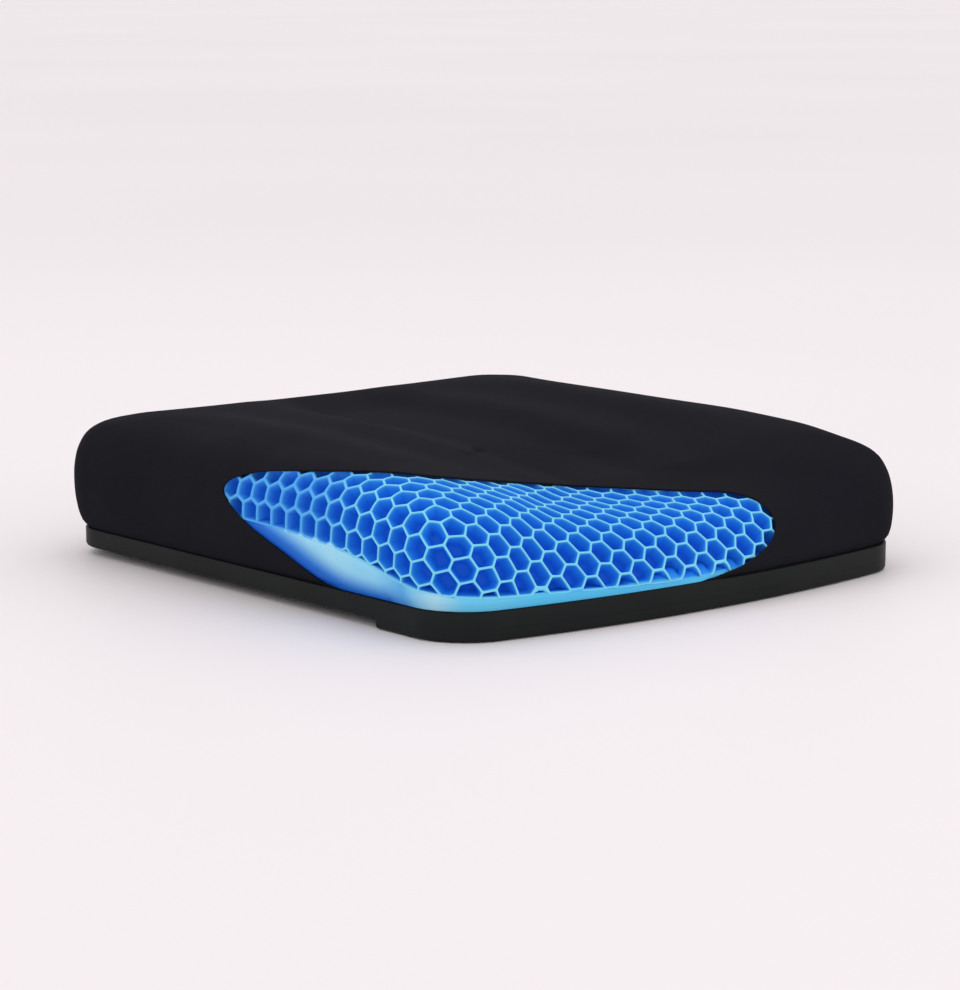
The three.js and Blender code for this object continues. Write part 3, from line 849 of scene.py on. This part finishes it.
def honeycomb():
    """Cell centres, the corners of each cell's outline, and the gel's surface to set them on."""
    ps = np.arange(-330, 372, 2.0)
    edge_k = np.interp(np.arange(0, side_len[-1], 2.0), side_len, K_FINE)
    ks = np.concatenate([np.arange(-1, 0, 0.1), edge_k, LAST + np.arange(0, 0.28, 0.013)])
    gp, gk = np.meshgrid(ps, ks, indexing="ij")
    shape = gp.shape
    pos = gel_surface(gp, gk)
    flat = laid_flat(gp, gk).reshape(-1, 2)
    gp, gk, pos = gp.reshape(-1), gk.reshape(-1), pos.reshape(-1, 3)
    index = np.arange(len(pos)).reshape(shape)
    a, b, c, d = index[:-1, :-1], index[1:, :-1], index[1:, 1:], index[:-1, 1:]
    tris = np.concatenate([np.stack([a, b, c], -1).reshape(-1, 3), np.stack([a, c, d], -1).reshape(-1, 3)])
    surface = BVHTree.FromPolygons(pos.tolist(), tris.tolist())
    face_p = gp[tris].mean(1)
    p, k, around = lattice(gp, gk, flat)
    points = gel_surface(p, k)

    # The lattice settles like a net, held where it is far from the corner or at its own edge.
    apex = gel_surface(*unfolded_to(APEX[None], gp, gk, flat)[:2])[0]
    low = (points[:, 2] < RIM_TOP + border_height(p) + 14) & (p % ROUND > 70) & (p % ROUND < 400)
    near_apex = np.linalg.norm(points - apex, axis=1) < 180
    free = [n for n, near in enumerate(around) if None not in near and near_apex[n] and not low[n]]
    nets = np.array([(list(around[n]) * 2)[:6] for n in free])
    share = np.array([[1 / 6] * 6 if len(around[n]) == 6 else [0.2] * 5 + [0] for n in free])
    start = np.linalg.norm(points[nets] - points[free][:, None], axis=-1)
    evened = smooth(140, 70, np.linalg.norm(points[free] - apex, axis=1))[:, None]
    rest = (start + (18.8 - start) * evened)[..., None]
    for step in range(420):
        there = points[nets]
        if step > 200:
            away = points[free][:, None] - there
            there = there + away / np.linalg.norm(away, axis=-1, keepdims=True) * rest
        points[free] = [surface.find_nearest(Vector(v))[0] for v in (there * share[..., None]).sum(1)]

    label = nearest(pos, points)
    # Corners: triangles of the grid whose three vertices belong to three cells.
    lab = label[tris]
    three = (lab[:, 0] != lab[:, 1]) & (lab[:, 1] != lab[:, 2]) & (lab[:, 0] != lab[:, 2])
    corners = {}
    for t, l in zip(tris[three], lab[three]):
        s1, s2, s3 = points[l]
        p1, p2, p3 = pos[t]
        middle = (p1 + p2 + p3) / 3
        n = np.cross(p2 - p1, p3 - p1)
        m = np.array([2 * (s2 - s1), 2 * (s3 - s1), n])
        x = middle
        if abs(np.linalg.det(m)) > 1e-6:
            x = np.linalg.solve(m, [s2 @ s2 - s1 @ s1, s3 @ s3 - s1 @ s1, n @ p1])
        if np.linalg.norm(x - middle) > 4:
            x = middle
        corners.setdefault(tuple(sorted(l)), []).append((x, gp[t].mean()))
    of_cell = {}
    for key, found in corners.items():
        x = np.mean([f[0] for f in found], axis=0)
        along = float(np.mean([f[1] for f in found]))
        for l in key:
            of_cell.setdefault(l, []).append((key, x, along))
    return points, of_cell, surface, face_p


def sides(items):
    """Each item with the next, and the last with the first."""
    return zip(items, items[1:] + items[:1])


def cross(a, b):
    return a[0] * b[1] - a[1] * b[0]


def polygon_cut(poly, point, normal):
    """The part of a convex polygon on the side of the line that normal points to."""
    out = []
    for a, b in sides(poly):
        da, db = (a - point) @ normal, (b - point) @ normal
        if da >= 0:
            out.append(a)
        if da * db < 0:
            out.append(a + (b - a) * da / (da - db))
    return out


def reach(poly, angle):
    """How far a polygon round the origin reaches at an angle."""
    d = np.array([math.cos(angle), math.sin(angle)])
    best = 1e9
    for a, b in sides(poly):
        det = cross(d, b - a)
        if abs(det) < 1e-12:
            continue
        t, u = cross(a, b - a) / det, cross(a, d) / det
        if t > 0 and -1e-6 <= u <= 1 + 1e-6:
            best = min(best, t)
    return best


# A cell from its mouth down: how far in from the wall's middle, and how deep.
RINGS = [
    (0.34, 0.04), (0.66, 0.22), (0.86, 0.7), (1.0, 1.8),
    (1.2, 5.5), (1.5, 11.0), (2.3, 13.8), (4.0, 15.0),
]
FLOOR_AT, DEEPEST, CELL_DEPTH = 15.3, 16, 0.85
EDGE_STEPS = 4
MODELLED = 17  # how far past the window's outline there are cells
SMALLEST, SMALLEST_SOFT = 1.3, 3.8  # from a cell's middle to its nearest wall


def along_skirt(p):
    """Where a point is along the skirt, from 0 on the side to 1 on the front, for its colour and its painted
    highlights.
    """
    return np.clip(((p + ROUND / 2) % ROUND - ROUND / 2 + 240) / 600, 0, 1)


def cell_mesh():
    """The honeycomb's vertices and faces, and the depth, crisp and skirt of each vertex."""
    points, of_cell, surface, face_p = honeycomb()
    verts, faces, depth, crisp, skirt = [], [], [], [], []

    def add(v, down, bright, on_skirt=0.0):
        for values, value in ((verts, v), (depth, down), (crisp, bright), (skirt, on_skirt)):
            values.append(value)
        return len(verts) - 1

    def on_surface(v, bounded=False):
        """The nearest point of the gel's surface and its normal. bounded keeps it above the lower edge."""
        hit, n, face, _ = surface.find_nearest(Vector(v))
        short = RIM_TOP + border_height(face_p[face]) - hit.z
        if bounded and short > 0.15:
            hit, n, _, _ = surface.find_nearest(hit + Vector((0, 0, short)))
        return np.array(hit), np.array(n)

    shared = {}
    distance = window_distance(points)
    for cell, found in of_cell.items():
        if distance[cell] > MODELLED or len(found) < 4:
            continue
        centre, normal = on_surface(points[cell])
        e1 = np.cross(normal, [0, 0, 1] if abs(normal[2]) < 0.9 else [1, 0, 0])
        e1 /= np.linalg.norm(e1)
        e2 = np.cross(normal, e1)
        turns = [math.atan2((x - centre) @ e2, (x - centre) @ e1) for _, x, _ in found]
        found = [found[n] for n in np.argsort(turns)]
        # Neighbouring corners must share a wall, or the cell is open.
        if any(len(set(a[0]) & set(b[0])) < 2 for a, b in sides(found)):
            continue
        above = [x[2] - RIM_TOP - border_height(along) for _, x, along in found]
        outline = []
        for (a, b), (rise, next_rise) in zip(sides(found), sides(above)):
            if rise >= 0:
                outline.append(a[1])
            if rise * next_rise < 0:
                t = rise / (rise - next_rise)
                outline.append(a[1] * (1 - t) + b[1] * t)
        flat = [np.array([(x - centre) @ e1, (x - centre) @ e2]) for x in outline]
        size = 0.5 * sum(cross(a, b) for a, b in sides(flat))
        if len(outline) < 3 or size < 1:
            continue
        middle = sum((a + b) * cross(a, b) for a, b in sides(flat)) / (6 * size)
        flat = [f - middle for f in flat]
        hub, hub_normal = on_surface(centre + e1 * middle[0] + e2 * middle[1])
        # Boundary points, the same for the cells on both sides of a wall.
        steps = [a + (b - a) * s / EDGE_STEPS for a, b in sides(outline) for s in range(EDGE_STEPS)]
        ring, ring_normal = (np.array(part) for part in zip(*(on_surface(x, bounded=True) for x in steps)))
        angles = [math.atan2((x - hub) @ e2, (x - hub) @ e1) for x in ring]
        clear = min(abs(cross(a, b - a)) / max(np.linalg.norm(b - a), 1e-9) for a, b in sides(flat))
        along = float(np.mean([f[2] for f in found]))
        # 1 for the front's cells, with thinner walls and the brighter painted highlight on their tops; 0 for
        # the side's soft ones.
        bright = float(smooth(-165, -70, along))
        first = []
        for x in ring:
            key = tuple(np.round(x, 2))
            if key not in shared:
                shared[key] = add(x, 0.0, bright)
            first.append(shared[key])
        if clear < (SMALLEST if bright > 0.5 else SMALLEST_SOFT):
            # Too small for a hollow: filled flush, with the skirt's look.
            lid = [*ring, on_surface(hub, bounded=True)[0]]
            patch = [add(v, 1.0, float(along_skirt(along)), 1.0) for v in lid]
            faces += [(a, b, patch[-1]) for a, b in sides(patch[:-1])]
            continue
        full = [reach(flat, a) for a in angles]
        rows = [first]
        for offset, down in RINGS:
            offset, down = offset * (1 + 0.55 * (1 - bright)), down * CELL_DEPTH
            poly = flat
            for a, b in sides(flat):
                length = np.linalg.norm(b - a)
                if length < 0.05:
                    continue
                inward = np.array([a[1] - b[1], b[0] - a[0]]) / length
                poly = polygon_cut(poly, a + inward * min(offset, clear * 0.8), inward)
                if len(poly) < 3:
                    break
            if len(poly) < 3:
                break
            share = np.clip([reach(poly, a) / f if f < 1e8 else 0.5 for a, f in zip(angles, full)], 0.05, 1)
            radial = share * np.linalg.norm(ring - hub, axis=1)
            if offset >= 0.45:  # a rounder outline further down
                evened = (np.roll(radial, 1) + radial * 2 + np.roll(radial, -1)) / 4
                radial = np.minimum(radial, radial * 0.65 + evened * 0.35)
            share = (radial / np.linalg.norm(ring - hub, axis=1))[:, None]
            lean = hub_normal * (1 - share) + ring_normal * share
            lean /= np.linalg.norm(lean, axis=1, keepdims=True)
            sunk = hub + (ring - hub) * share - lean * down
            rows.append([add(v, down / DEEPEST / CELL_DEPTH, bright) for v in sunk])
        faces += strips(rows)
        floor = add(hub - hub_normal * FLOOR_AT * CELL_DEPTH, FLOOR_AT / DEEPEST, bright)
        faces += [(a, b, floor) for a, b in sides(rows[-1])]
    return verts, faces, depth, crisp, skirt


def gel_piece():
    verts, faces, depth, crisp, skirt = cell_mesh()

    def add(more, down, bright, on_skirt=0.0):
        for values, value in ((depth, down), (crisp, bright), (skirt, on_skirt)):
            values.extend(np.broadcast_to(value, len(more)))
        verts.extend(more)
        return np.arange(len(more)) + len(verts) - len(more)

    # The smooth rest of the pad: the skirt below the honeycomb, and everything under the cover.
    base = board_high[2] + 0.3
    columns = len(grid_rows[0])
    foot_inset = WALL + 0.4 + GEL_UNDER

    def foot_at(p):
        """The pad's foot, which in the window comes out over the cover's edge and down to the rim's top."""
        out = smooth(0, -7, window_distance(ring_at(foot_inset, base, p)))
        return np.stack([*plan(foot_inset - 3.3 * out, p), base - 0.95 * out], -1)

    def above_border(points):
        return points[:, 2] - RIM_TOP - border_height(grid_p)

    body = np.concatenate([foot_at(grid_p[:columns]), (grid_pos - grid_normal * GEL_UNDER)[columns:]])
    # The smooth surface stays below the honeycomb's edge, and well outside the window.
    body_faces = cut(body, grid_faces, np.maximum(1.2 - above_border(body), window_distance(body) - 9))
    normals, outside, rise = vertex_normals(body, body_faces), window_distance(body), above_border(body)
    hidden = np.clip((outside - 1) / 3, 0, 1) * (body[:, 2] > RIM_TOP + 20)
    tucked = 0.35 * smooth(-3, 0.5, rise) * (hidden < 0.5)
    fuller = 0.88 * smooth(-1, -8, outside) * smooth(0.5, -3.5, rise) * smooth(base, base + 3, body[:, 2])
    body = body - normals * (hidden * 0.5 + tucked - fuller)[:, None]
    # On the skirt, depth is the distance in from the cover's edge, up to 22 mm, which places the painted edge
    # shadow.
    at = add(body, np.clip(-window_distance(body) / 22, 0, 1), along_skirt(grid_p), 1.0)
    faces += [tuple(at[list(f)]) for f in body_faces]
    # A lip turned in under the honeycomb's edge.
    for loop in boundary_loops(body_faces):
        if min(body[loop][:, 2]) >= base + 0.5:
            lip = add(body[loop] - normals[loop] * 3, 0.2, 1.0)
            faces += [tuple(reversed(f)) for f in strips([at[loop], lip])]
    # Underside and hollow.
    hollow = [(42, base), (42, 42), (46, 55), (54, 62), (68, 64.3)]
    ring_p = grid_p[:columns:4]
    rings = [foot_at(ring_p)] + [ring_at(inset, z, ring_p) for inset, z in hollow]
    rows = [add(ring, 0.3, 1.0) for ring in rings]
    faces += [tuple(reversed(f)) for f in strips(rows)]
    faces.append(tuple(reversed(rows[-1])))
    ob = piece("gel", verts, faces, GEL)
    for name, values in (("depth", depth), ("crisp", crisp), ("skirt", skirt)):
        layer = ob.data.attributes.new(name, "FLOAT", "POINT")
        layer.data.foreach_set("value", np.array(values, np.float32))
    return ob


gel = gel_piece()
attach(gel, "root")
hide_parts("gel_pad")


# ---------------------------------------------------------------- the foam core
def lofted(profile, columns):
    """The vertices and faces of a closed solid from rings of (inset, z), flat across the first and last."""
    p = np.linspace(0, ROUND, columns, endpoint=False)
    rows = np.arange(len(profile) * columns).reshape(len(profile), columns)
    verts = np.concatenate([ring_at(inset, z, p) for inset, z in profile])
    return verts, strips(rows) + [tuple(reversed(rows[0])), tuple(rows[-1])]


def foam_piece():
    low, high = (np.array(c) * 1000 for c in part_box("foam_core"))
    first, level = RIM_W / 2 - high[0], high[2]
    rounding = [(0, 22), (1.4, 14), (4.5, 8), (9, 3.6), (15, 1.2), (24, 0)]
    profile = [(first + 2, low[2]), (first, low[2] + 2)]
    profile += [(first + inward, level - down) for inward, down in rounding]
    return piece("foam", *lofted(profile, 240), FOAM, sharp=50)


foam = foam_piece()
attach(foam, "root")
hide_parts("foam_core")


# ---------------------------------------------------------------- the outer shell
def loft(name, profile):
    return piece(name, *lofted(profile, 480), PLASTIC)


def block(name, x0, x1, y0, y1, z0, z1, round_=0.0):
    """A box with its upright and lower edges rounded."""
    bm = bmesh.new()
    bmesh.ops.create_cube(bm, size=1)
    for v in bm.verts:
        v.co = Vector((x0 if v.co.x < 0 else x1, y0 if v.co.y < 0 else y1, z0 if v.co.z < 0 else z1))
    if round_:
        upright = [e for e in bm.edges if abs(e.verts[0].co.z - e.verts[1].co.z) > 0.1]
        bmesh.ops.bevel(bm, geom=upright, offset=round_ * 3, segments=6, profile=0.5, affect="EDGES")
        low = [e for e in bm.edges if all(abs(v.co.z - z0) < 1e-4 for v in e.verts)]
        bmesh.ops.bevel(bm, geom=low, offset=round_, segments=3, profile=0.5, affect="EDGES")
    verts = [tuple(v.co) for v in bm.verts]
    faces = [[v.index for v in f.verts] for f in bm.faces]
    bm.free()
    return piece(name, verts, faces, PLASTIC)


def post(name, x, y, radius, z0, z1, sides=40):
    a = np.linspace(0, 2 * math.pi, sides, endpoint=False)
    ring = np.stack([x + radius * np.cos(a), y + radius * np.sin(a)], -1)
    verts = np.concatenate([np.column_stack([ring, np.full(sides, z)]) for z in (z0, z1)])
    rows = [np.arange(sides), np.arange(sides) + sides]
    return piece(name, verts, strips(rows) + [tuple(reversed(rows[0])), tuple(rows[1])], PLASTIC)


def combine(base, others, operation):
    """base with each of the others joined on or cut away."""
    collection = bpy.data.collections.new("tools")
    for o in others:
        for c in list(o.users_collection):
            c.objects.unlink(o)
        collection.objects.link(o)
    mod = base.modifiers.new("combine", "BOOLEAN")
    mod.operation = operation
    mod.operand_type = "COLLECTION"
    mod.collection = collection
    mod.solver = "EXACT"
    dg = bpy.context.evaluated_depsgraph_get()
    made = bpy.data.meshes.new_from_object(base.evaluated_get(dg))
    base.modifiers.clear()
    old = base.data
    base.data = made
    bpy.data.meshes.remove(old)
    for o in others:
        bpy.data.objects.remove(o)
    bpy.data.collections.remove(collection)
    return base


MECHANISM = [(sx * 80, sy * 100) for sx in (-1, 1) for sy in (-1, 1)]
ARMS = [(side * 181, 60 + n * 52) for side in (-1, 1) for n in (-1, 0, 1)]
SCREWS = [(x, -192) for x in (-150, 0, 150)] + [(x, 184) for x in (-150, 0, 150)] + [(-136, -72), (136, -72)]


def shell_piece():
    top = FLOOR + FLOOR_THICK
    rib_top = board_low[2] - 0.3
    tray = loft("shell", [
        (3.4, FLOOR), (1.9, FLOOR + 0.25), (0.75, FLOOR + 1.0), (0.15, FLOOR + 2.1), (0, FLOOR + 3.4),
        (0, RIM_TOP - 1.3), (0.3, RIM_TOP - 0.5), (0.9, RIM_TOP - 0.1), (1.6, RIM_TOP), (2.3, RIM_TOP - 0.12),
        (2.8, RIM_TOP - 0.5), (WALL, RIM_TOP - 1.2), (WALL, top + 0.8), (WALL + 0.8, top),
    ])
    lip = loft("lip", [(3.0, 0), (1.6, 0.25), (0.65, 0.9), (0.12, 2.0), (0, 3.2), (0, FLOOR + 2.5)])
    lip = combine(lip, [loft("lip_inside", [(WALL + 1, -1), (WALL + 1, FLOOR + 4)])], "DIFFERENCE")
    lip = combine(lip, [block("lip_front", -300, 300, -320, LIP_BACK, -2, FLOOR + 6)], "INTERSECT")
    pads = [block("mech", -110, 110, -120, 120, 0, top - 1, 1.6)]
    for s in (-1, 1):
        x0, x1 = sorted((s * 156, s * 206))
        pads.append(block(f"arm{s}", x0, x1, 60 - 78, 60 + 78, 0, top - 1, 1.6))
    shell = combine(tray, [lip, *pads], "UNION")
    hollows = [block("mech_in", -107, 107, -117, 117, 3, top + 2)]
    for s in (-1, 1):
        x0, x1 = sorted((s * 159, s * 203))
        hollows.append(block(f"arm_in{s}", x0, x1, 60 - 75, 60 + 75, 3, top + 2))
    shell = combine(shell, hollows, "DIFFERENCE")
    inside = [block(f"rib_x{n}", x - 1, x + 1, -118, 118, 2, rib_top) for n, x in enumerate((-40, 40))]
    inside += [
        block(f"rib_y{n}", -108, 108, y - 1, y + 1, 2, rib_top - 0.05) for n, y in enumerate((-60, 0, 60))
    ]
    inside += [post(f"boss{n}", x, y, 8.1, 1, rib_top - 0.1) for n, (x, y) in enumerate(MECHANISM + ARMS)]
    inside += [post(f"boss_s{n}", x, y, 5, FLOOR + 1, rib_top) for n, (x, y) in enumerate(SCREWS)]
    shell = combine(shell, inside, "UNION")
    holes = [post(f"hole{n}", x, y, 4.6, -2, rib_top + 3) for n, (x, y) in enumerate(MECHANISM + ARMS)]
    holes += [post(f"hole_s{n}", x, y, 2.2, FLOOR - 2, rib_top + 3) for n, (x, y) in enumerate(SCREWS)]
    shell = combine(shell, holes, "DIFFERENCE")
    shade(shell.data, 35)
    return shell


shell = shell_piece()
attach(shell, "root")
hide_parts("outer_shell")


# ---------------------------------------------------------------- fasteners
def screw_mesh():
    """A pan head screw, head down, with a cross recess. Its origin is under the head's seat."""
    profile = [
        (1.2, -2.36), (2.3, -2.1), (3.1, -1.55), (3.65, -0.9), (3.85, -0.3), (3.9, 0), (1.9, 0), (1.9, 10.8),
        (0.2, 13.6),
    ]
    sides = 32
    a = np.linspace(0, 2 * math.pi, sides, endpoint=False)
    verts, rows = [], []
    for r, z in profile:
        rows.append(np.arange(sides) + len(verts) * sides)
        verts.append(np.column_stack([r * np.cos(a), r * np.sin(a), np.full(sides, z)]))
    verts = np.concatenate(verts)
    faces = strips(rows) + [tuple(reversed(rows[0])), tuple(rows[-1])]
    ob = piece("screw_form", verts - [0, MIDDLE_Y, 0], faces, BLACK_STEEL)
    arms = [
        block(f"recess_{x}", -x, x, -y - MIDDLE_Y, y - MIDDLE_Y, -4, -1.1)
        for x, y in ((1.7, 0.32), (0.32, 1.7))
    ]
    ob = combine(ob, arms, "DIFFERENCE")
    shade(ob.data, 35)
    mesh = ob.data
    bpy.data.objects.remove(ob)
    return mesh


screw_data = screw_mesh()
for n in range(1, 9):
    low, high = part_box(f"shell_screw_{n}")
    screw = bpy.data.objects.new(f"screw_{n}", screw_data)
    bpy.context.scene.collection.objects.link(screw)
    screw.location = ((low[0] + high[0]) / 2, (low[1] + high[1]) / 2, (FLOOR - 0.3) / 1000)
    screw.rotation_euler = (0, 0, n * 0.7)
    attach(screw, "root")
    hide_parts(f"shell_screw_{n}")

for name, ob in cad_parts.items():
    if name == "inner_board":
        material = WOOD
    elif "tnut" in name or "staple" in name:
        material = ZINC
    else:
        continue
    ob.data.materials.clear()
    ob.data.materials.append(material)
    if "tnut" in name:
        shade(ob.data, 40)


# ---------------------------------------------------------------- floor, light, camera
def stage_floor():
    m, tree, shader, coord = new_material("floor")
    colour = ramp(tree, noise(tree, coord, 0.6, 2), [(0.2, srgb(240, 236, 237)), (0.8, srgb(244, 240, 241))])
    dress(tree, shader, {"Base Color": colour, "Roughness": 0.6})
    mesh = bpy.data.meshes.new("floor")
    corners = [(40 * x, 40 * y, -0.0005) for x, y in ((-1, -1), (1, -1), (1, 1), (-1, 1))]
    mesh.from_pydata(corners, [], [(0, 1, 2, 3)])
    mesh.materials.append(m)
    ob = bpy.data.objects.new("floor", mesh)
    bpy.context.scene.collection.objects.link(ob)


def area_light(name, place, target, size, power):
    data = bpy.data.lights.new(name, "AREA")
    data.shape = "RECTANGLE"
    data.size, data.size_y = size
    data.energy = power
    ob = bpy.data.objects.new(name, data)
    bpy.context.scene.collection.objects.link(ob)
    ob.location = place
    ob.rotation_euler = (Vector(target) - Vector(place)).to_track_quat("-Z", "Y").to_euler()


stage_floor()
area_light("overhead", (0.3, 0.6, 2.4), (0, 0, 0), (2.6, 2.2), 5)
area_light("left", (-2.9, 0.5, 1.25), (0, 0, 0.05), (1.2, 1.2), 5)
area_light("front", (0.9, -2.7, 1.1), (0, -0.1, 0.05), (1.5, 1.0), 4.5)
world = bpy.data.worlds.new("studio")
bpy.context.scene.world = world
world.use_nodes = True
dress(world.node_tree, world.node_tree.nodes["Background"], {"Color": srgb(240, 236, 238), "Strength": 1.1})

AZIMUTH, ELEVATION, DISTANCE = math.radians(-40.14), math.radians(10.82), 2.65
level = math.cos(ELEVATION)
back = Vector((math.sin(AZIMUTH) * level, -math.cos(AZIMUTH) * level, math.sin(ELEVATION)))
camera_data = bpy.data.cameras.new("camera")
camera_data.sensor_fit = "HORIZONTAL"
camera_data.sensor_width = 36
camera_data.lens = 122
camera_data.shift_y = 0.065
camera_data.clip_end = 200
camera = bpy.data.objects.new("camera", camera_data)
bpy.context.scene.collection.objects.link(camera)
camera.location = Vector((0, MIDDLE_Y / 1000, 0)) + back * DISTANCE
camera.rotation_euler = (-back).to_track_quat("-Z", "Y").to_euler()
bpy.context.scene.camera = camera
bpy.context.scene.view_settings.view_transform = "Standard"
